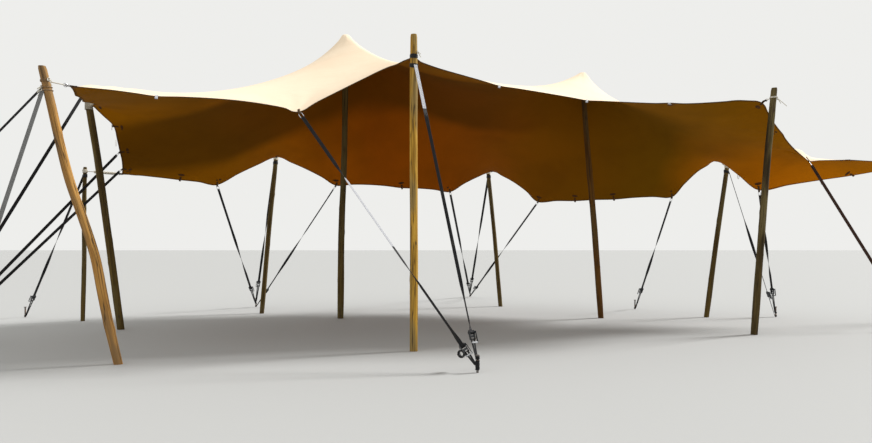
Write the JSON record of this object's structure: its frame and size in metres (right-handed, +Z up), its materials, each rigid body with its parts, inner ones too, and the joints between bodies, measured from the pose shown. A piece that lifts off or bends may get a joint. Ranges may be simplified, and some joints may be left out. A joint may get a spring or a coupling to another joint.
{
  "type": "stretch tent",
  "caption": "Freeform tent: one stretched fabric roof over two centre poles and natural wood edge poles, held out by webbing guys with ratchets that run to ground stakes.",
  "frame": {"origin": "on the ground under the middle of the whole tent with its guys and stakes", "axes": "+X to the right along the front hem, +Y from the front to the back, +Z up"},
  "size_m": [18.578, 12.348, 5.313],
  "materials": {
    "canopy_fabric": "matt sand coloured stretch fabric, lighter on top and warm brown in the shade below",
    "peeled_wood": "peeled and weathered natural poles with knots and cracks",
    "black_webbing": "woven black polyester strap, slight sheen",
    "white_rope": "laid off-white rope",
    "dark_steel": "dull galvanised steel with some rust"
  },
  "bodies": {
    "tent": {"canopy": "canopy_fabric", "pole_front_left": "peeled_wood", "pole_front_middle": "peeled_wood", "pole_front_right": "peeled_wood", "pole_left_middle": "peeled_wood", "pole_rear_left": "peeled_wood", "pole_centre_left": "peeled_wood", "pole_centre_right": "peeled_wood", "pole_back_left": "peeled_wood", "pole_back_middle": "peeled_wood", "pole_back_right": "peeled_wood", "pole_rear_right": "peeled_wood", "tie_front_left": "white_rope", "tie_front_middle": "white_rope", "tie_front_right": "white_rope", "tie_left_middle": "white_rope", "tie_rear_left": "white_rope", "tie_back_left": "white_rope", "tie_back_middle": "white_rope", "tie_back_right": "white_rope", "tie_rear_right": "white_rope", "stake_front": "dark_steel", "stake_front_left": "dark_steel", "stake_left_front": "dark_steel", "stake_left": "dark_steel", "stake_rear_left": "dark_steel", "stake_back_left": "dark_steel", "stake_back_middle": "dark_steel", "stake_back_right": "dark_steel", "stake_right_back": "dark_steel", "stake_right": "dark_steel", "stake_rear_right": "dark_steel", "guy_front_low": "black_webbing", "guy_front_pole": "black_webbing", "guy_front_left_fore": "black_webbing", "guy_front_left_side": "black_webbing", "guy_left_pole": "black_webbing", "guy_left_hem": "black_webbing", "guy_left_corner": "black_webbing", "guy_rear_left": "black_webbing", "guy_back_left_low": "black_webbing", "guy_back_left_pole": "black_webbing", "guy_back_left_inner": "black_webbing", "guy_back_middle_left": "black_webbing", "guy_back_middle_pole": "black_webbing", "guy_back_middle_right": "black_webbing", "guy_back_right_low": "black_webbing", "guy_right_back_low": "black_webbing", "guy_right_back_pole": "black_webbing", "guy_right_low": "black_webbing", "guy_rear_right": "black_webbing"},
    "lever_low": {"ratchet_lever_front_low": "dark_steel"},
    "lever_pole": {"ratchet_lever_front_pole": "dark_steel"}
  },
  "joints": [
    {"name": "lever_low_swing", "type": "hinge", "parent": "tent", "child": "lever_low", "pos_m": [-0.9822, -4.36218, 0.28935], "axis": [-0.8152, -0.3281, -0.4774], "range_deg": [0, 150]},
    {"name": "lever_pole_swing", "type": "hinge", "parent": "tent", "child": "lever_pole", "pos_m": [-0.87912, -4.31499, 0.43795], "axis": [-0.8927, -0.4507, 0], "range_deg": [0, 150]}
  ]
}
